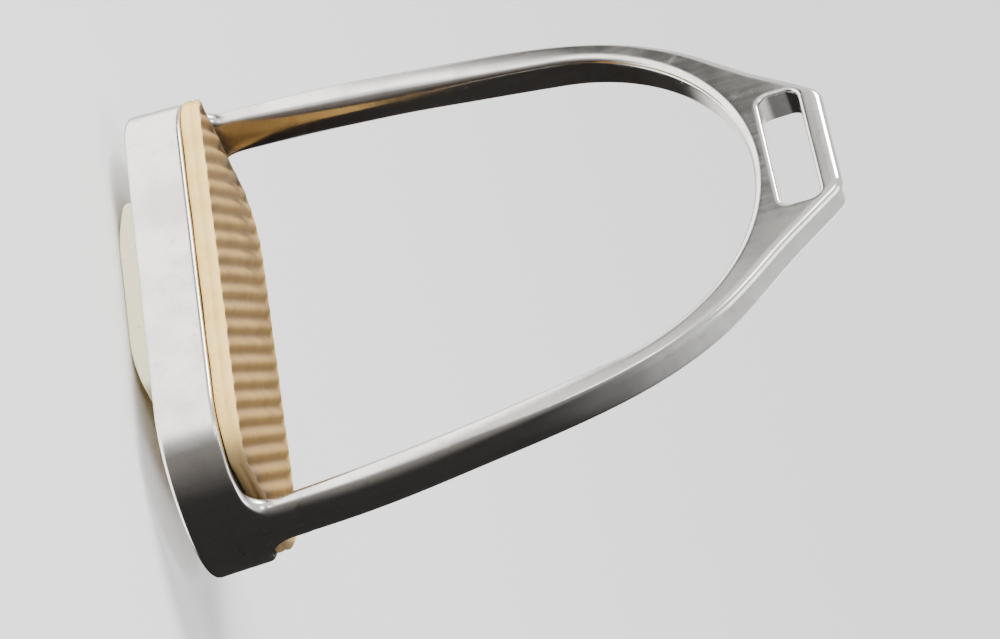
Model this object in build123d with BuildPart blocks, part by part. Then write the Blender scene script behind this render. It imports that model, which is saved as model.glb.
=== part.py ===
from build123d import *
import os

# A stirrup iron of the 4 1/2 inch size: one polished iron (eye, two branches and a ring-shaped
# tread in a single piece) with a rubber pad pushed into the tread.
# Millimetres. X runs across the iron, Y from front (-Y) to back, +Z up to the eye.
# The iron stands on the lip under its pad, so the lip's lowest line is at Z = 0.

# Driving dimensions
iron_width = 127.0          # over the outside of the tread and branches
iron_height = 159.5         # from under the pad's lip to the top of the eye
lip_drop = 5.0              # how far the pad's lip hangs below the tread

tread_depth = 47.0          # front to back
tread_height = 13.5
tread_draft = 2.0           # degrees, casting draft of the tread's outer wall
rim_round = 0.8             # rounding of the tread's top edge
foot_round = 1.2            # rounding of its bottom edge
window_length = 84.0        # opening through the tread, which the pad plugs
window_depth = 38.0

branch_thickness = 6.0      # across X, where a branch leaves the tread
branch_inset = 0.5          # how far a branch stands in from the tread's end, because of the draft
branch_half_depth = 6.0     # half the front-to-back size of a branch at the tread
eye_half_depth = 4.0        # the same at the top of the eye
branch_flare = 8.5          # radius of the sweep from the sides of a branch out to the rim
arch_radius = 46.5          # round arch under the eye
arch_sweep = 81.0           # degrees of that arc on each side, above the long inner curve
edge_round = 2.3            # rounding of the long edges of branches and eye
shoulder_point = (24.5, 147.5)
shoulder_lean = (-0.62, 0.78)

slot_width = 33.5           # eye slot for the stirrup leather
slot_height = 9.0
slot_corner = 2.4
eye_bar = 5.2               # bar above the slot, which carries the load
eye_floor = 4.3             # metal between the slot and the arch
eye_corner = 5.0

pad_thickness = 5.0         # plate of the pad, above the tread
pad_edge_round = 1.2
pad_end_gap = 1.0           # clearance between the pad and the foot of each branch
pad_inset = 0.8             # how far the pad stands in from the tread's long sides
pad_overrun = 6.7           # how far its rounded ends would run on past the branches
plug_gap = 0.7              # clearance of the plug inside the window
plug_length = 76.0
plug_end = 18.0             # flat end of the plug, between its cut corners
plug_straight = 52.0        # straight side of the plug
plug_height = 7.5
lip_length = 57.0           # rectangular lip below the plug
lip_wall = 3.0
lip_flat = 26.0             # length of the lip's level bottom edge
lip_end_rise = 2.2          # the lip's bottom edge curves up by this much at its ends
lip_corner = 2.0
pocket_depth = 8.0          # hollow inside the lip, open downwards
pocket_corner = 1.5

# Derived places
tread_bottom = lip_drop
tread_top = tread_bottom + tread_height
root = tread_top - 4        # where the branches start, inside the tread
branch_outside = iron_width / 2 - branch_inset
branch_inside = branch_outside - branch_thickness
slot_centre = iron_height - eye_bar - slot_height / 2
arch_top = iron_height - eye_bar - slot_height - eye_floor
pad_half_length = branch_inside - pad_end_gap
plug_bottom = tread_top - plug_height
plug_half_depth = window_depth / 2 - plug_gap


# The right half of eye and branch, drawn from the front. The outer line climbs straight off the
# tread and then leans in to the eye. The inner line closes over the foot in a round arch.
with BuildPart() as half_arch:
    with BuildSketch(Plane.XZ) as front_view:
        with BuildLine():
            outside = Spline(
                (branch_outside, root), (62.8, 42), (58, 77), (49.3, 110.5), (40, 129.5), shoulder_point,
                tangents=[(0, 1), shoulder_lean])
            rise = (iron_height - shoulder_point[1]) / shoulder_lean[1]
            eye_side = Line(outside @ 1, outside @ 1 + Vector(*shoulder_lean) * rise)
            Polyline(eye_side @ 1, (0, iron_height), (0, arch_top))
            arch = CenterArc((0, arch_top - arch_radius), arch_radius, 90, -arch_sweep)
            inside = TangentArc(arch @ 1, (branch_inside, root), tangent=arch % 1)
            Line(inside @ 1, outside @ 0)
        make_face()
        fillet(front_view.vertices().sort_by(Axis.Y)[-2:].sort_by(Axis.X)[-1], radius=eye_corner)
    extrude(amount=tread_depth / 2, both=True)
    with BuildSketch(Plane.YZ):
        with BuildLine():
            Polyline((branch_half_depth, 0), (eye_half_depth, iron_height),
                     (-eye_half_depth, iron_height), (-branch_half_depth, 0), close=True)
        make_face()
    extrude(amount=iron_width, both=True, mode=Mode.INTERSECT)
    long_edges = half_arch.edges().filter_by(
        lambda e: abs(e.center().Y) > 3 and e.center().X > 1 and e.center().Z > tread_top)
    fillet(long_edges, radius=edge_round)

# The foot of each branch: the tread's rounded end carried up and swept in to the branch's sides.
with BuildPart() as feet:
    with BuildSketch(Plane.YZ):
        with BuildLine():
            waist = branch_half_depth - 0.9
            Polyline((0, root), (waist + branch_flare, root), (waist + branch_flare, tread_top))
            sweep_in = TangentArc((waist + branch_flare, tread_top), (waist, tread_top + branch_flare),
                                  tangent=(-1, 0))
            Polyline(sweep_in @ 1, (0, tread_top + branch_flare), (0, root))
        make_face()
        mirror(about=Plane.YZ)
    extrude(amount=iron_width / 2, both=True)
    with BuildSketch():
        SlotOverall(iron_width - 1.2, tread_depth - 1.2)
        Rectangle(2 * branch_inside + 0.8, tread_depth, mode=Mode.SUBTRACT)
    extrude(amount=iron_height, mode=Mode.INTERSECT)

with BuildPart() as iron:
    with BuildSketch(Plane.XY.offset(tread_bottom)):
        SlotOverall(iron_width, tread_depth)
    extrude(amount=tread_height, taper=tread_draft)
    fillet(iron.edges().group_by(Axis.Z)[0], radius=foot_round)
    fillet(iron.edges().group_by(Axis.Z)[-1], radius=rim_round)
    with BuildSketch(Plane.XY.offset(tread_bottom)):
        SlotOverall(window_length, window_depth)
    extrude(amount=tread_height, mode=Mode.SUBTRACT)
    add(feet.part)
    add(half_arch.part)
    add(mirror(half_arch.part, about=Plane.YZ))
    with BuildSketch(Plane.XZ):
        with Locations((0, slot_centre)):
            RectangleRounded(slot_width, slot_height, slot_corner)
    extrude(amount=tread_depth, both=True, mode=Mode.SUBTRACT)
iron.part.label = "iron"

# The pad's lip: a rectangular wall below the plug, with a bottom edge that curves up at both ends.
with BuildPart() as lip:
    with BuildSketch():
        RectangleRounded(lip_length, 2 * plug_half_depth, lip_corner)
    extrude(amount=plug_bottom)
    with BuildSketch(Plane.XZ):
        with BuildLine():
            level = Line((-lip_flat / 2, 0), (lip_flat / 2, 0))
            right_end = (lip_length / 2, lip_end_rise)
            left_end = (-lip_length / 2, lip_end_rise)
            TangentArc(level @ 1, right_end, tangent=(1, 0))
            TangentArc(level @ 0, left_end, tangent=(-1, 0))
            Polyline(right_end, (lip_length / 2, plug_bottom), (-lip_length / 2, plug_bottom), left_end)
        make_face()
    extrude(amount=tread_depth, both=True, mode=Mode.INTERSECT)

# The pad: a plate on the tread, a plug with cut corners in the window, the lip,
# and a pocket that opens downwards inside the lip.
with BuildPart() as tread_pad:
    with BuildSketch(Plane.XY.offset(tread_top)):
        SlotOverall(2 * (pad_half_length + pad_overrun), tread_depth - 2 * pad_inset)
        Rectangle(2 * pad_half_length, tread_depth, mode=Mode.INTERSECT)
    extrude(amount=pad_thickness)
    fillet(tread_pad.faces().sort_by(Axis.Z)[-1].edges(), radius=pad_edge_round)
    with BuildSketch(Plane.XY.offset(plug_bottom)):
        Rectangle(plug_length, plug_end)
        Rectangle(plug_straight, 2 * plug_half_depth)
        make_hull()
    extrude(amount=plug_height)
    add(lip.part)
    with BuildSketch():
        RectangleRounded(lip_length - 2 * lip_wall, 2 * (plug_half_depth - lip_wall), pocket_corner)
    extrude(amount=pocket_depth, mode=Mode.SUBTRACT)
tread_pad.part.label = "tread_pad"

os.makedirs("parts", exist_ok=True)
export_step(iron.part, "parts/iron.step")
export_step(tread_pad.part, "parts/tread_pad.step")
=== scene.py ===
import math

import bpy
import numpy as np
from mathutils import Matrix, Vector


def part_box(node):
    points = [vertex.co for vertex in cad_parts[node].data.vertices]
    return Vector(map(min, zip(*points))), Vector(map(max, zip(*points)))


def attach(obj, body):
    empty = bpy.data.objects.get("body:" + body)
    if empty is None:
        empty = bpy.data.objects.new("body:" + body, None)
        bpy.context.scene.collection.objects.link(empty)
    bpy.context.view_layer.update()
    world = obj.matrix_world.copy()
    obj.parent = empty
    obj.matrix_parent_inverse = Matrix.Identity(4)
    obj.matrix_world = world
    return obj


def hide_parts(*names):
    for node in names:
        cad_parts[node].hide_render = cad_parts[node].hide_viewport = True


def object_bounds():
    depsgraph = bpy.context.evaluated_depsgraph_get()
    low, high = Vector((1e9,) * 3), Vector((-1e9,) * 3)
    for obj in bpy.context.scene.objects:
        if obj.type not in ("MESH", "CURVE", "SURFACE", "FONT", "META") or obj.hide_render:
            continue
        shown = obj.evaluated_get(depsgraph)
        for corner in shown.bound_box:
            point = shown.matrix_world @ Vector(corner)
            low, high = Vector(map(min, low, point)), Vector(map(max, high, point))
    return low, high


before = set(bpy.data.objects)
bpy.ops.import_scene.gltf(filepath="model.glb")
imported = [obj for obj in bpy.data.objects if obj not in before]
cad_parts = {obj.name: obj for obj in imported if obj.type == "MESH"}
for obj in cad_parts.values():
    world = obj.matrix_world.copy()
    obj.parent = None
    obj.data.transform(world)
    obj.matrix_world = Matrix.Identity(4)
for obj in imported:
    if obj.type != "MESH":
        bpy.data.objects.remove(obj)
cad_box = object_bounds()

import openvdb
from mathutils import Matrix, Vector

MM = 0.001

# ---------------------------------------------------------------- sizes, in millimetres
IRON_HALF_WIDTH = cad_box[1].x / MM
IRON_TOP = cad_box[1].z / MM
TREAD_RADIUS = 23.5
TREAD_HALF_LENGTH = 63.5
TREAD_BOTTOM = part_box("iron")[0].z / MM
TREAD_TOP = TREAD_BOTTOM + 13.5
TREAD_DRAFT = math.tan(math.radians(2.0))
RIM_ROUND = 0.9
FOOT_ROUND = 1.2
WINDOW_HALF_LENGTH = 42.0
WINDOW_RADIUS = 19.0

BRANCH_ROOT = TREAD_TOP - 4.0
BRANCH_OUTSIDE = 63.0
BRANCH_INSIDE = 57.0
BRANCH_HALF_DEPTH = 6.0
EYE_HALF_DEPTH = 4.0
EDGE_ROUND = 1.9
FLARE_RADIUS = 8.5
FLARE_WAIST = BRANCH_HALF_DEPTH - 0.9
FLARE_REACH = 3.0
FLARE_INSIDE = BRANCH_INSIDE + 0.3
FLARE_INSIDE_ROUND = 2.2
FLARE_EDGE_ROUND = 2.8
FLARE_BLEND, BRANCH_BLEND = 2.0, 1.0
SHOULDER = (24.5, 147.5)
SHOULDER_LEAN = (-0.62, 0.78)
OUTSIDE_LINE = [
    (BRANCH_OUTSIDE, BRANCH_ROOT), (62.8, 42.0), (58.0, 77.0), (49.8, 110.5), (40.0, 129.5), SHOULDER]
EYE_CORNER = 5.0
ARCH_RADIUS = 46.5
ARCH_SWEEP = math.radians(81.0)
OVER_MIDDLE = 10.0
OVAL_BELOW, FLAT_SIDED_ABOVE = 58, 122
THINNEST_HALF, THICKEST_HALF = 2.8, 4.6
SMOOTHING_REACH = 12

SLOT_WIDTH, SLOT_HEIGHT, SLOT_CORNER, SLOT_ROUND = 33.5, 9.0, 2.4, 0.7
EYE_BAR = 5.2
EYE_FLOOR = 4.3
SLOT_CENTRE = IRON_TOP - EYE_BAR - SLOT_HEIGHT / 2
ARCH_TOP = IRON_TOP - EYE_BAR - SLOT_HEIGHT - EYE_FLOOR

PAD_HALF_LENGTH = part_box("tread_pad")[1].x / MM
PAD_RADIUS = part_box("tread_pad")[1].y / MM
PAD_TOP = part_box("tread_pad")[1].z / MM
PAD_END_OVERRUN = 6.7
PAD_SLIP = -0.9
PAD_END_DROOP = 1.0
DROOP_START, DROOP_LENGTH = 38, 18
PAD_EDGE_ROUND = 1.0
PAD_CORNER = 1.2
PARTING_GROOVE, PARTING_WIDTH, PARTING_HEIGHT = 0.35, 0.35, 2.3
RIB_PITCH = 4.11
RIB_ANGLE = math.radians(41.0)
RIB_DEPTH = 1.15
RIB_BORDER = 1.3
BORDER_DROP = 0.15
PLUG_BOTTOM = TREAD_TOP - 7.5
PLUG_HALF_LENGTH, PLUG_HALF_DEPTH = 38.0, 18.3
PLUG_STRAIGHT, PLUG_END = 26.0, 9.0
LIP_HALF_LENGTH, LIP_WALL, LIP_CORNER = 28.5, 3.0, 2.0
LIP_FLAT, LIP_END_RISE = 13.0, 2.2
POCKET_DEPTH, POCKET_CORNER = 8.0, 1.5
RUBBER_ROUND = 0.8

IRON_VOXEL = 0.4
PAD_VOXEL = 0.36
MARGIN = 1.0
IRON_BUMP, IRON_WAVE = 0.03, 45.0
PAD_BUMP, PAD_WAVE = 0.05, 23.0


# ---------------------------------------------------------------- solid shapes as distance fields
# A field is negative inside the metal or rubber and positive outside, in millimetres.

def rounded_meet(a, b, radius):
    """What is inside both a and b, with the edge between them rounded."""
    a, b = a + radius, b + radius
    return np.minimum(np.maximum(a, b), 0) + np.hypot(np.maximum(a, 0), np.maximum(b, 0)) - radius


def soft_union(a, b, width):
    """What is inside a or b, blended over the given width."""
    h = np.maximum(width - np.abs(a - b), 0) / width
    return np.minimum(a, b) - h * h * width / 4


def oval_bar(u, v, half_u, half_v):
    """Distance to an oval of the given half sizes, near its surface."""
    near = np.hypot(u / half_u, v / half_v)
    return near * (near - 1) / np.maximum(np.hypot(u / half_u**2, v / half_v**2), 1e-3)


def smoothstep(low, high, x):
    t = np.clip((x - low) / (high - low), 0, 1)
    return t * t * (3 - 2 * t)


def obround(x, y, half_length, radius):
    return np.hypot(np.maximum(np.abs(x) - (half_length - radius), 0), y) - radius


def rounded_box(x, y, half_x, half_y, corner):
    dx, dy = np.abs(x) - (half_x - corner), np.abs(y) - (half_y - corner)
    return np.hypot(np.maximum(dx, 0), np.maximum(dy, 0)) + np.minimum(np.maximum(dx, dy), 0) - corner


def inside_polygon(points, u, v):
    """Signed distance to a closed outline."""
    nearest = np.full(np.broadcast(u, v).shape, 1e6, np.float32)
    crossed = np.zeros(nearest.shape, bool)
    for (u0, v0), (u1, v1) in zip(points, np.roll(points, -1, axis=0)):
        du, dv = u1 - u0, v1 - v0
        t = np.clip(((u - u0) * du + (v - v0) * dv) / (du * du + dv * dv), 0, 1)
        nearest = np.minimum(nearest, (u - u0 - t * du) ** 2 + (v - v0 - t * dv) ** 2)
        if dv != 0:
            crossed ^= ((v0 <= v) != (v1 <= v)) & (u < u0 + (v - v0) * du / dv)
    return np.where(crossed, -1, 1) * np.sqrt(nearest)


def smooth_line(points, start, end, steps=120):
    """A smooth curve through the points that leaves and arrives in the given directions."""
    p = np.array(points, float)
    gap = np.linalg.norm(np.diff(p, axis=0), axis=1)
    n = len(p)
    a, b = np.eye(n), np.zeros((n, 2))
    b[0], b[-1] = np.array(start) / np.hypot(*start), np.array(end) / np.hypot(*end)
    for i in range(1, n - 1):
        a[i, i - 1 : i + 2] = gap[i], 2 * (gap[i - 1] + gap[i]), gap[i - 1]
        b[i] = 3 * (gap[i] * (p[i] - p[i - 1]) / gap[i - 1] + gap[i - 1] * (p[i + 1] - p[i]) / gap[i])
    slope = np.linalg.solve(a, b)
    t = np.linspace(0, 1, steps, endpoint=False)[:, None]
    spans = [
        (2 * t**3 - 3 * t**2 + 1) * p[i] + (t**3 - 2 * t**2 + t) * gap[i] * slope[i]
        + (3 * t**2 - 2 * t**3) * p[i + 1] + (t**3 - t**2) * gap[i] * slope[i + 1]
        for i in range(n - 1)
    ]
    return np.vstack([*spans, p[-1:]])


def tangent_arc(start, heading, end, steps=300):
    """An arc from start to end that sets off along heading."""
    start, heading, chord = np.array(start), np.array(heading) / np.hypot(*heading), np.subtract(end, start)
    side = np.array([-heading[1], heading[0]])
    turn = math.atan2(chord @ side, chord @ heading)
    radius = np.hypot(*chord) / (2 * math.sin(turn))
    t = np.linspace(0, 2 * turn, steps)[:, None]
    return start + radius * (np.sin(t) * heading + (1 - np.cos(t)) * side)


def corner_arc(before, corner, after, radius, steps=24):
    """The rounding of a corner."""
    a, b, c = (np.array(p, float) for p in (before, corner, after))
    back, on = (a - b) / np.hypot(*(a - b)), (c - b) / np.hypot(*(c - b))
    length = radius / math.tan(math.acos(back @ on) / 2)
    return tangent_arc(b + back * length, -back, b + on * length, steps)


def samples(low, high, voxel):
    """Sample places along one axis."""
    return np.arange(low, high + voxel, voxel, dtype=np.float32)


def mirrored(quarter):
    """The whole field from its x >= 0, y >= 0 quarter."""
    half = np.concatenate([quarter[:0:-1], quarter])
    return np.concatenate([half[:, :0:-1], half], axis=1)


def hand_made(field, x, y, z, amount, wavelength):
    """Takes off a little more here than there, as casting and hand polishing do."""
    k = 2 * math.pi / wavelength
    bumps = np.sin(k * x + 0.7 * k * z + 1.1) * np.sin(0.8 * k * z - 0.5 * k * y + 0.4)
    bumps = bumps + 0.6 * np.sin(1.7 * k * z + 0.9 * k * x + 2.0) * np.sin(1.3 * k * y - 0.6 * k * x)
    return field + amount * (bumps + 1.7)


def between_samples(values, points):
    """Values at places given in samples, blended from the eight samples around each."""
    low = np.floor(points).astype(int)
    part = points - low
    total = np.zeros(len(points))
    for corner in np.ndindex(2, 2, 2):
        weight = np.prod(np.where(corner, part, 1 - part), axis=1)
        total += weight * values[tuple((low + corner).T)]
    return total


def mesh_from_field(name, field, x, y, z):
    """A mesh object over the field's zero surface."""
    grid = openvdb.FloatGrid()
    grid.copyFromArray(np.ascontiguousarray(field, dtype=np.float32))
    points, quads = grid.convertToQuads(0.0)
    slopes = np.stack([between_samples(slope, points) for slope in np.gradient(field)], axis=1)
    points = (points * float(x[1] - x[0]) + (x[0], y[0], z[0])) * MM
    mesh = bpy.data.meshes.new(name)
    mesh.from_pydata(points.tolist(), [], quads.tolist())
    lowest = min(mesh.polygons, key=lambda face: face.center.z)
    if lowest.normal.z > 0:
        mesh.flip_normals()
    mesh.shade_smooth()
    normals = slopes / np.linalg.norm(slopes, axis=1, keepdims=True)
    mesh.normals_split_custom_set_from_vertices(normals.tolist())
    piece = bpy.data.objects.new(name, mesh)
    bpy.context.scene.collection.objects.link(piece)
    return piece


def add_values(piece, name, values):
    """Stores one value per vertex, for the piece's material."""
    piece.data.attributes.new(name, "FLOAT", "POINT").data.foreach_set("value", values.astype(np.float32))


# ---------------------------------------------------------------- the iron
def iron_outline():
    """The front view's outline where x >= 0, carried a little over the middle."""
    outside = smooth_line(OUTSIDE_LINE, (0, 1), SHOULDER_LEAN)
    rise = (IRON_TOP - SHOULDER[1]) / SHOULDER_LEAN[1]
    eye_end = (SHOULDER[0] + SHOULDER_LEAN[0] * rise, IRON_TOP)
    eye_corner = corner_arc(SHOULDER, eye_end, (0, IRON_TOP), EYE_CORNER)
    angle = np.linspace(math.pi / 2 + OVER_MIDDLE / ARCH_RADIUS, math.pi / 2 - ARCH_SWEEP, 240)
    arch = np.c_[ARCH_RADIUS * np.cos(angle), ARCH_TOP - ARCH_RADIUS + ARCH_RADIUS * np.sin(angle)]
    down = (math.sin(angle[-1]), -math.cos(angle[-1]))
    inside = tangent_arc(arch[-1], down, (BRANCH_INSIDE, BRANCH_ROOT))
    return np.vstack([outside[:-1], eye_corner, [(-OVER_MIDDLE, IRON_TOP)], arch, inside[1:]])


def branches_and_eye(gx, gy, gz):
    """Oval branches that turn flat-sided towards the eye."""
    front = inside_polygon(iron_outline(), gx[:, :, 0], gz[0])[:, None, :]
    half_depth = BRANCH_HALF_DEPTH + (EYE_HALF_DEPTH - BRANCH_HALF_DEPTH) * gz / IRON_TOP
    flat_sided = rounded_meet(front, gy - half_depth, EDGE_ROUND)
    window = 2 * SMOOTHING_REACH + 1
    half_thickness = np.pad(-front.min(axis=(0, 1)), SMOOTHING_REACH, "edge")
    half_thickness = np.convolve(half_thickness, np.full(window, 1 / window), "valid")
    half_thickness = half_thickness.clip(THINNEST_HALF, THICKEST_HALF)
    oval = oval_bar(np.maximum(front + half_thickness, 0), gy, half_thickness, half_depth)
    body = oval + (flat_sided - oval) * smoothstep(OVAL_BELOW, FLAT_SIDED_ABOVE, gz)
    slot = rounded_box(gx, gz - SLOT_CENTRE, SLOT_WIDTH / 2, SLOT_HEIGHT / 2, SLOT_CORNER)
    return rounded_meet(body, -slot, SLOT_ROUND)


def ring_tread(gx, gy, gz):
    """The obround ring that the foot stands on, with the feet of the branches swept out to its rim."""
    wall = obround(gx, gy, TREAD_HALF_LENGTH, TREAD_RADIUS) + TREAD_DRAFT * (gz - TREAD_BOTTOM)
    flare = FLARE_RADIUS - np.hypot(
        np.minimum(gy - FLARE_WAIST - FLARE_RADIUS, 0), np.minimum(gz - TREAD_TOP - FLARE_RADIUS, 0))
    foot = rounded_meet(flare, FLARE_INSIDE - gx, FLARE_INSIDE_ROUND)
    foot = np.maximum(foot, gz - TREAD_TOP - FLARE_RADIUS - FLARE_REACH)
    top = soft_union(gz - TREAD_TOP, foot, FLARE_BLEND)
    rounding = RIM_ROUND + (FLARE_EDGE_ROUND - RIM_ROUND) * smoothstep(TREAD_TOP - 0.5, TREAD_TOP + 6, gz)
    tread = rounded_meet(wall, top, rounding)
    tread = rounded_meet(tread, TREAD_BOTTOM - gz, FOOT_ROUND)
    return rounded_meet(tread, -obround(gx, gy, WINDOW_HALF_LENGTH, WINDOW_RADIUS), RIM_ROUND)


def iron_piece():
    x = samples(0, IRON_HALF_WIDTH + MARGIN, IRON_VOXEL)
    y = samples(0, TREAD_RADIUS + MARGIN, IRON_VOXEL)
    z = samples(TREAD_BOTTOM - MARGIN, IRON_TOP + MARGIN, IRON_VOXEL)
    gx, gy, gz = x[:, None, None], y[None, :, None], z[None, None, :]
    field = mirrored(soft_union(ring_tread(gx, gy, gz), branches_and_eye(gx, gy, gz), BRANCH_BLEND))
    x, y = np.r_[-x[:0:-1], x], np.r_[-y[:0:-1], y]
    field = hand_made(field, x[:, None, None], y[None, :, None], z[None, None, :], IRON_BUMP, IRON_WAVE)
    piece = mesh_from_field("iron_casting", field, x, y, z)
    vx, vy, vz = np.array([v.co for v in piece.data.vertices]).T / MM
    rim = obround(vx, vy, TREAD_HALF_LENGTH, TREAD_RADIUS) + TREAD_DRAFT * (vz - TREAD_BOTTOM)
    # Painted shade and grime: the rim's land just inside the pad's edge is marked to be painted near black,
    # standing in for the shadow gap under the pad.
    gap_shade_and_grime = smoothstep(-0.75, -1.25, rim) * smoothstep(TREAD_TOP - 1.0, TREAD_TOP - 0.3, vz)
    gap_shade_and_grime = gap_shade_and_grime * smoothstep(TREAD_TOP + 3.5, TREAD_TOP + 0.5, vz)
    add_values(piece, "gap_shade_and_grime", gap_shade_and_grime)
    # Painted dark reflection and shade: faces turned towards the middle, low on the branches, are marked to
    # be painted brown.
    inward = -np.array([n.vector.x for n in piece.data.vertex_normals]) * np.sign(vx)
    add_values(piece, "inward_dark_reflection", smoothstep(0.3, 0.9, inward) * smoothstep(TREAD_TOP + 55, TREAD_TOP + 5, vz))
    return piece


# ---------------------------------------------------------------- the pad
def pad_plan(x, y):
    """Distance to the edge of the pad's plate, seen from above."""
    whole = obround(x, y, PAD_HALF_LENGTH + PAD_END_OVERRUN, PAD_RADIUS)
    return rounded_meet(whole, np.abs(x) - PAD_HALF_LENGTH, PAD_CORNER)


def rib_groove(x, y):
    """0 on a rib's crest and 1 at the bottom of a groove."""
    across = x * math.cos(RIB_ANGLE) + y * math.sin(RIB_ANGLE)
    return (0.5 + 0.5 * np.cos(2 * math.pi * across / RIB_PITCH)) ** 1.2


def pad_piece():
    x = samples(-PAD_HALF_LENGTH - MARGIN, PAD_HALF_LENGTH + MARGIN, PAD_VOXEL)
    y = samples(-PAD_RADIUS - MARGIN, PAD_RADIUS + MARGIN, PAD_VOXEL)
    z = samples(-MARGIN, PAD_TOP + MARGIN, PAD_VOXEL)
    gx, gy, gz = x[:, None, None], y[None, :, None], z[None, None, :]

    plan = pad_plan(gx, gy)
    ribbed = smoothstep(-RIB_BORDER + 0.5, -RIB_BORDER - 0.5, plan)
    droop = PAD_END_DROOP * np.clip((np.abs(gx) - DROOP_START) / DROOP_LENGTH, 0, 1) ** 2
    surface = PAD_TOP - droop - BORDER_DROP * (1 - ribbed) - RIB_DEPTH * rib_groove(gx, gy) * ribbed
    parting = PARTING_GROOVE * np.exp(-(((gz - TREAD_TOP - PARTING_HEIGHT) / PARTING_WIDTH) ** 2))
    plate = rounded_meet(plan + parting, (gz - surface) * 0.85, PAD_EDGE_ROUND)
    plate = rounded_meet(plate, TREAD_TOP - gz, 0.6)

    cut = np.array([PLUG_HALF_DEPTH - PLUG_END, PLUG_HALF_LENGTH - PLUG_STRAIGHT])
    cut = cut / np.hypot(*cut)
    corners = (np.abs(gx) - PLUG_HALF_LENGTH) * cut[0] + (np.abs(gy) - PLUG_END) * cut[1]
    ends = np.maximum(np.abs(gx) - PLUG_HALF_LENGTH, corners)
    plug = rounded_meet(ends, np.abs(gy) - PLUG_HALF_DEPTH, RUBBER_ROUND)
    plug = rounded_meet(plug, PLUG_BOTTOM - gz, RUBBER_ROUND)
    plug = np.maximum(plug, gz - TREAD_TOP - 1)

    rise = LIP_END_RISE * (np.maximum(np.abs(gx) - LIP_FLAT, 0) / (LIP_HALF_LENGTH - LIP_FLAT)) ** 2
    lip = rounded_box(gx, gy, LIP_HALF_LENGTH, PLUG_HALF_DEPTH, LIP_CORNER)
    lip = rounded_meet(lip, rise - gz, RUBBER_ROUND)
    lip = np.maximum(lip, gz - PLUG_BOTTOM - 1)
    pocket = rounded_box(gx, gy, LIP_HALF_LENGTH - LIP_WALL, PLUG_HALF_DEPTH - LIP_WALL, POCKET_CORNER)
    body = soft_union(soft_union(plug, lip, 0.8), plate, 0.6)
    body = rounded_meet(body, -rounded_meet(pocket, gz - POCKET_DEPTH, RUBBER_ROUND), 0.7)
    field = hand_made(body, gx, gy, gz, PAD_BUMP, PAD_WAVE)
    piece = mesh_from_field("rubber_pad", field, x, y, z)

    vx, vy, vz = np.array([v.co for v in piece.data.vertices]).T / MM
    # Painted shade: the ribbed top is marked for a darker tan than the sides.
    ribbed_top_shade = smoothstep(-RIB_BORDER + 0.9, -RIB_BORDER - 0.3, pad_plan(vx, vy))
    ribbed_top_shade = ribbed_top_shade * smoothstep(TREAD_TOP + 2, TREAD_TOP + 3, vz)
    add_values(piece, "ribbed_top_shade", ribbed_top_shade)
    # Painted shade: the grooves of the ribbed top are marked for a darker brown.
    add_values(piece, "groove", rib_groove(vx, vy) * ribbed_top_shade)
    # Painted shade: the pad's ends, next to the branch feet, are marked to be painted dark brown.
    add_values(piece, "end_shade", smoothstep(PAD_HALF_LENGTH - 7, PAD_HALF_LENGTH - 0.5, np.abs(vx)))
    piece.location.x = PAD_SLIP * MM
    return piece


# ---------------------------------------------------------------- materials
class Nodes:
    """Shorthand for building one material's nodes."""

    def __init__(self, name):
        self.material = bpy.data.materials.new(name)
        self.material.use_nodes = True
        self.tree = self.material.node_tree
        self.shader = next(n for n in self.tree.nodes if n.type == "BSDF_PRINCIPLED")
        self.place = self.add("ShaderNodeTexCoord").outputs["Object"]

    def add(self, kind, inputs=None, **settings):
        node = self.tree.nodes.new(kind)
        for key, value in settings.items():
            setattr(node, key, value)
        for key, value in (inputs or {}).items():
            self.give(node.inputs[key], value)
        return node

    def give(self, socket, value):
        if isinstance(value, bpy.types.NodeSocket):
            self.tree.links.new(value, socket)
        else:
            socket.default_value = value

    def noise(self, scale, detail=4.0, roughness=0.55, place=None, distortion=0.0):
        return self.add("ShaderNodeTexNoise", {
            "Vector": place or self.place, "Scale": scale, "Detail": detail,
            "Roughness": roughness, "Distortion": distortion}).outputs["Fac"]

    def ramp(self, value, low, high, to_low=0.0, to_high=1.0):
        return self.add("ShaderNodeMapRange", {
            "Value": value, "From Min": low, "From Max": high, "To Min": to_low, "To Max": to_high},
            interpolation_type="SMOOTHSTEP").outputs["Result"]

    def math(self, operation, a, b=0.0):
        return self.add("ShaderNodeMath", {0: a, 1: b}, operation=operation).outputs[0]

    def mix(self, factor, a, b):
        node = self.add("ShaderNodeMix", data_type="RGBA")
        self.give(node.inputs["Factor"], factor)
        self.give(node.inputs["A"], (*a, 1) if isinstance(a, tuple) else a)
        self.give(node.inputs["B"], (*b, 1) if isinstance(b, tuple) else b)
        return node.outputs["Result"]

    def stretched(self, scale):
        return self.add("ShaderNodeMapping", {"Vector": self.place, "Scale": scale}).outputs[0]

    def bump(self, height, distance, strength=1.0, normal=None):
        node = self.add("ShaderNodeBump", {"Height": height, "Distance": distance, "Strength": strength})
        if normal is not None:
            self.give(node.inputs["Normal"], normal)
        return node.outputs["Normal"]

    def finish(self, **values):
        for key, value in values.items():
            self.give(self.shader.inputs[key.replace("_", " ")], value)
        return self.material


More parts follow.
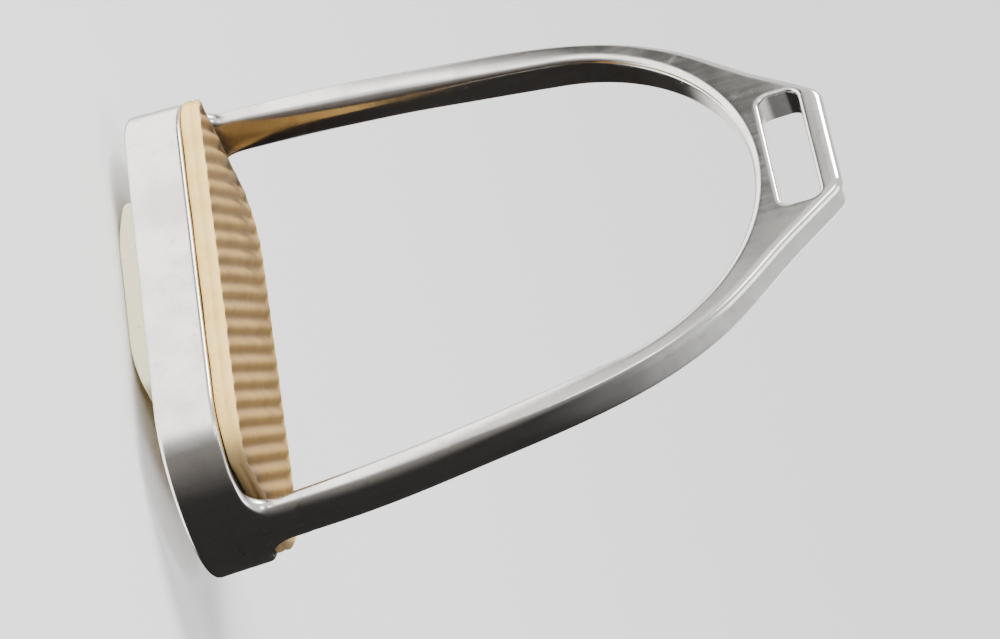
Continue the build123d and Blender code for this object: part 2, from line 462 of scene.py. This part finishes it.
def polished_iron():
    """Hand-polished steel: mottled, finely scratched, with grey bloom, painted shade and grime in the gap
    round the pad, and painted dark reflection on the inner sides of the branch feet.
    """
    n = Nodes("polished_iron")
    gap_shade_and_grime = n.add("ShaderNodeAttribute", attribute_name="gap_shade_and_grime").outputs["Fac"]
    inward_dark_reflection = n.add("ShaderNodeAttribute", attribute_name="inward_dark_reflection").outputs["Fac"]
    bloom = n.ramp(n.noise(70, 5, 0.6), 0.40, 0.68)
    smudge = n.ramp(n.noise(260, 6, 0.7, distortion=0.6), 0.52, 0.74)
    lengthways = n.noise(240, 3, place=n.stretched((3.0, 3.0, 0.1)))
    crossways = n.noise(280, 3, place=n.stretched((0.1, 2.5, 3.0)))
    spots = n.ramp(n.noise(620, 2, 0.5), 0.70, 0.78)
    spots = n.math("MULTIPLY", spots, n.ramp(n.noise(75, 2), 0.5, 0.62))
    colour = n.mix(bloom, (0.78, 0.765, 0.745), (0.62, 0.60, 0.575))
    colour = n.mix(n.math("MULTIPLY", smudge, 0.5), colour, (0.46, 0.43, 0.39))
    colour = n.mix(n.math("MULTIPLY", spots, 0.6), colour, (0.30, 0.22, 0.15))
    # Painted dark reflection and shade on the inward-facing sides of the branch feet.
    colour = n.mix(n.math("MULTIPLY", inward_dark_reflection, 0.75), colour, (0.20, 0.15, 0.11))
    # Painted shade with grime: near black in the gap between the rim and the pad.
    colour = n.mix(n.math("MULTIPLY", gap_shade_and_grime, 0.93), colour, (0.030, 0.022, 0.015))
    wear = n.math("ADD", n.math("MULTIPLY", bloom, 0.08), n.math("MULTIPLY", smudge, 0.09))
    wear = n.math("ADD", wear, n.math("MULTIPLY", lengthways, 0.10))
    wear = n.math("ADD", wear, n.math("MULTIPLY", spots, 0.2))
    roughness = n.math("ADD", n.math("ADD", wear, 0.09), n.math("MULTIPLY", gap_shade_and_grime, 0.5))
    normal = n.bump(n.math("ADD", lengthways, crossways), 0.00001, 0.3)
    normal = n.bump(n.noise(190, 2, 0.4), 0.00003, 0.6, normal)
    return n.finish(Base_Color=colour, Metallic=1.0, Roughness=roughness, Normal=normal)


def aged_rubber():
    """Cream rubber with painted light and shade: a darker tan on the ribbed top, darker still in its grooves
    and at the ends, and paler low down on the lip.
    """
    n = Nodes("aged_rubber")
    ribbed_top_shade = n.add("ShaderNodeAttribute", attribute_name="ribbed_top_shade").outputs["Fac"]
    groove = n.add("ShaderNodeAttribute", attribute_name="groove").outputs["Fac"]
    end_shade = n.add("ShaderNodeAttribute", attribute_name="end_shade").outputs["Fac"]
    patches = n.noise(90, 5, 0.6)
    grain = n.noise(1500, 4, 0.6)
    cream = n.mix(n.ramp(patches, 0.35, 0.7), (0.93, 0.65, 0.22), (0.83, 0.53, 0.14))
    height = n.add("ShaderNodeSeparateXYZ", {"Vector": n.place}).outputs["Z"]
    # Painted light: the low part of the pad, the lip under the tread, is painted paler.
    cream = n.mix(n.ramp(height, 0.004, 0.009), (0.97, 0.90, 0.62), cream)
    # Painted shade: the darker tan that the ribbed top is painted.
    tan = n.mix(n.ramp(patches, 0.3, 0.7), (0.30, 0.165, 0.022), (0.20, 0.10, 0.012))
    colour = n.mix(n.math("MULTIPLY", ribbed_top_shade, 0.9), cream, tan)
    # Painted shade in the grooves.
    colour = n.mix(n.math("MULTIPLY", groove, 0.6), colour, (0.16, 0.09, 0.03))
    # Painted shade on the pad's ends.
    colour = n.mix(n.math("MULTIPLY", end_shade, 0.85), colour, (0.10, 0.06, 0.03))
    specks = n.ramp(n.noise(900, 3), 0.66, 0.74)
    colour = n.mix(n.math("MULTIPLY", specks, 0.35), colour, (0.30, 0.21, 0.11))
    roughness = n.ramp(grain, 0.3, 0.7, 0.62, 0.82)
    normal = n.bump(grain, 0.0001, 0.5)
    normal = n.bump(n.noise(300, 3), 0.0003, 0.4, normal)
    return n.finish(Base_Color=colour, Roughness=roughness, Normal=normal)


def matt(name, colour):
    return Nodes(name).finish(Base_Color=(*colour, 1), Roughness=1.0, Specular_IOR_Level=0.0)


# ---------------------------------------------------------------- pieces
iron = iron_piece()
iron.data.materials.append(polished_iron())
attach(iron, "root")
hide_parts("iron")

pad = pad_piece()
pad.data.materials.append(aged_rubber())
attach(pad, "root")
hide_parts("tread_pad")


# ---------------------------------------------------------------- studio
def plane(name, size, material):
    mesh = bpy.data.meshes.new(name)
    h = size / 2
    mesh.from_pydata([(-h, -h, 0), (h, -h, 0), (h, h, 0), (-h, h, 0)], [], [(0, 1, 2, 3)])
    mesh.materials.append(material)
    piece = bpy.data.objects.new(name, mesh)
    bpy.context.scene.collection.objects.link(piece)
    return piece


FLOOR_SIZE = 80.0
floor = plane("floor", FLOOR_SIZE, matt("pale_floor", (0.80, 0.795, 0.79)))
floor.visible_glossy = False

CENTRE = Vector((0.0, 0.0, 0.082))
CAMERA_AZIMUTH, CAMERA_ELEVATION, CAMERA_DISTANCE = 44.1, 6.6, 1.085
CAMERA_AIM = Vector((0.0117, 0.0106, 0.0774))
CAMERA_ROLL = math.radians(73.5)
CAMERA_LENS = 176


def direction(azimuth, elevation):
    """From the object towards a place at that azimuth and elevation, in degrees."""
    a, e = math.radians(azimuth), math.radians(elevation)
    return Vector((math.sin(a) * math.cos(e), -math.cos(a) * math.cos(e), math.sin(e)))


def aimed(obj, place, target, roll=0.0):
    obj.location = place
    turn = (target - place).to_track_quat("-Z", "Y").to_matrix() @ Matrix.Rotation(roll, 3, "Z")
    obj.rotation_euler = turn.to_euler()


def softbox(name, azimuth, elevation, distance, size, brightness):
    """An even rectangular light; its brightness is the one it shows in a mirror."""
    light = bpy.data.lights.new(name, "AREA")
    light.shape, light.size, light.size_y = "RECTANGLE", *size
    light.energy = brightness * math.pi * size[0] * size[1]
    lamp = bpy.data.objects.new(name, light)
    bpy.context.scene.collection.objects.link(lamp)
    lamp.visible_camera = False
    aimed(lamp, CENTRE + direction(azimuth, elevation) * distance, CENTRE)


camera = bpy.data.objects.new("camera", bpy.data.cameras.new("camera"))
camera.data.lens = CAMERA_LENS
camera.data.clip_end = 100
bpy.context.scene.collection.objects.link(camera)
aimed(camera, CENTRE + direction(CAMERA_AZIMUTH, CAMERA_ELEVATION) * CAMERA_DISTANCE, CAMERA_AIM, CAMERA_ROLL)
bpy.context.scene.camera = camera

sun = bpy.data.objects.new("key", bpy.data.lights.new("key", "SUN"))
sun.data.energy, sun.data.angle = 6.0, math.radians(26)
bpy.context.scene.collection.objects.link(sun)
aimed(sun, direction(-66, 32), Vector())
softbox("top", 100, 70, 1.4, (0.9, 0.9), 2.6)
softbox("edge", 4, 42, 1.2, (0.5, 0.35), 6.0)
softbox("front", -4, 9, 0.9, (0.5, 0.2), 9.0)


SCREEN_SWEEP = 45


def screen(name, radius, heights, azimuths, brightness, colour):
    """A curved studio screen with soft edges, which only the metal's reflections show.

    heights and azimuths: where it starts, is full, stops being full and ends.
    brightness: where it is first full, and SCREEN_SWEEP degrees on.
    """
    n = Nodes(name)
    start, full, fading, end = azimuths
    middle = math.radians((start + end) / 2)
    where = n.add("ShaderNodeSeparateXYZ", {"Vector": n.place})
    azimuth = n.math("ARCTAN2", where.outputs["X"], n.math("MULTIPLY", where.outputs["Y"], -1.0))
    azimuth = n.math("ADD", n.math("MULTIPLY", azimuth, 180 / math.pi), math.degrees(middle))
    cover = n.math("MULTIPLY", n.ramp(azimuth, start, full), n.ramp(azimuth, fading, end, 1.0, 0.0))
    cover = n.math("MULTIPLY", cover, n.ramp(where.outputs["Z"], heights[0], heights[1]))
    cover = n.math("MULTIPLY", cover, n.ramp(where.outputs["Z"], heights[2], heights[3], 1.0, 0.0))
    n.finish(
        Base_Color=(0, 0, 0, 1), Specular_IOR_Level=0.0, Emission_Color=(*colour, 1), Alpha=cover,
        Emission_Strength=n.ramp(azimuth, full, full + SCREEN_SWEEP, *brightness))
    angles = np.radians(np.arange(start, end + 1, 4.0)) - middle
    low, high = heights[0], heights[3]
    verts = [(radius * math.sin(a), -radius * math.cos(a), h) for a in angles for h in (low, high)]
    faces = [(2 * i, 2 * i + 2, 2 * i + 3, 2 * i + 1) for i in range(len(angles) - 1)]
    mesh = bpy.data.meshes.new(name)
    mesh.from_pydata(verts, [], faces)
    mesh.materials.append(n.material)
    piece = bpy.data.objects.new(name, mesh)
    piece.rotation_euler.z = middle
    bpy.context.scene.collection.objects.link(piece)
    for ray in ("camera", "diffuse", "shadow", "transmission", "volume_scatter"):
        setattr(piece, "visible_" + ray, False)


WARM_WHITE = (1.0, 0.985, 0.96)
screen(
    "dark_screen", 0.20, heights=(-0.30, -0.15, 0.10, 0.28),
    azimuths=(2, 32, 205, 232), brightness=(0.28, 0.035), colour=(1.0, 0.93, 0.88))
screen(
    "bright_screen", 0.45, heights=(-0.4, -0.3, 0.2, 0.6),
    azimuths=(-190, -168, -2, 14), brightness=(6.0, 1.15), colour=WARM_WHITE)
screen(
    "low_screen", 0.44, heights=(-0.4, -0.3, -0.01, 0.05),
    azimuths=(-110, -90, -2, 14), brightness=(3.6, 3.6), colour=WARM_WHITE)
screen(
    "grey_screen", 0.40, heights=(0.035, 0.085, 0.130, 0.150),
    azimuths=(-94, -76, -41.5, -37.5), brightness=(0.10, 0.10), colour=(1.0, 0.96, 0.93))


def studio_world():
    """Pale surroundings, dimmer high up. The bright part under the floor only shows in reflections."""
    world = bpy.data.worlds.new("studio")
    world.use_nodes = True
    nodes, links = world.node_tree.nodes, world.node_tree.links
    height = nodes.new("ShaderNodeSeparateXYZ")
    links.new(nodes.new("ShaderNodeTexCoord").outputs["Generated"], height.inputs["Vector"])
    strength = nodes.new("ShaderNodeMath")
    strength.operation = "MULTIPLY"
    under_floor, high_up = (-0.85, -0.45, 4.0, 1.6), (0.02, 0.30, 1.0, 0.65)
    for i, values in enumerate((under_floor, high_up)):
        part = nodes.new("ShaderNodeMapRange")
        links.new(height.outputs["Z"], part.inputs["Value"])
        for key, value in zip(("From Min", "From Max", "To Min", "To Max"), values):
            part.inputs[key].default_value = value
        links.new(part.outputs["Result"], strength.inputs[i])
    nodes["Background"].inputs["Color"].default_value = (0.98, 0.99, 1.0, 1)
    links.new(strength.outputs[0], nodes["Background"].inputs["Strength"])
    return world


bpy.context.scene.world = studio_world()
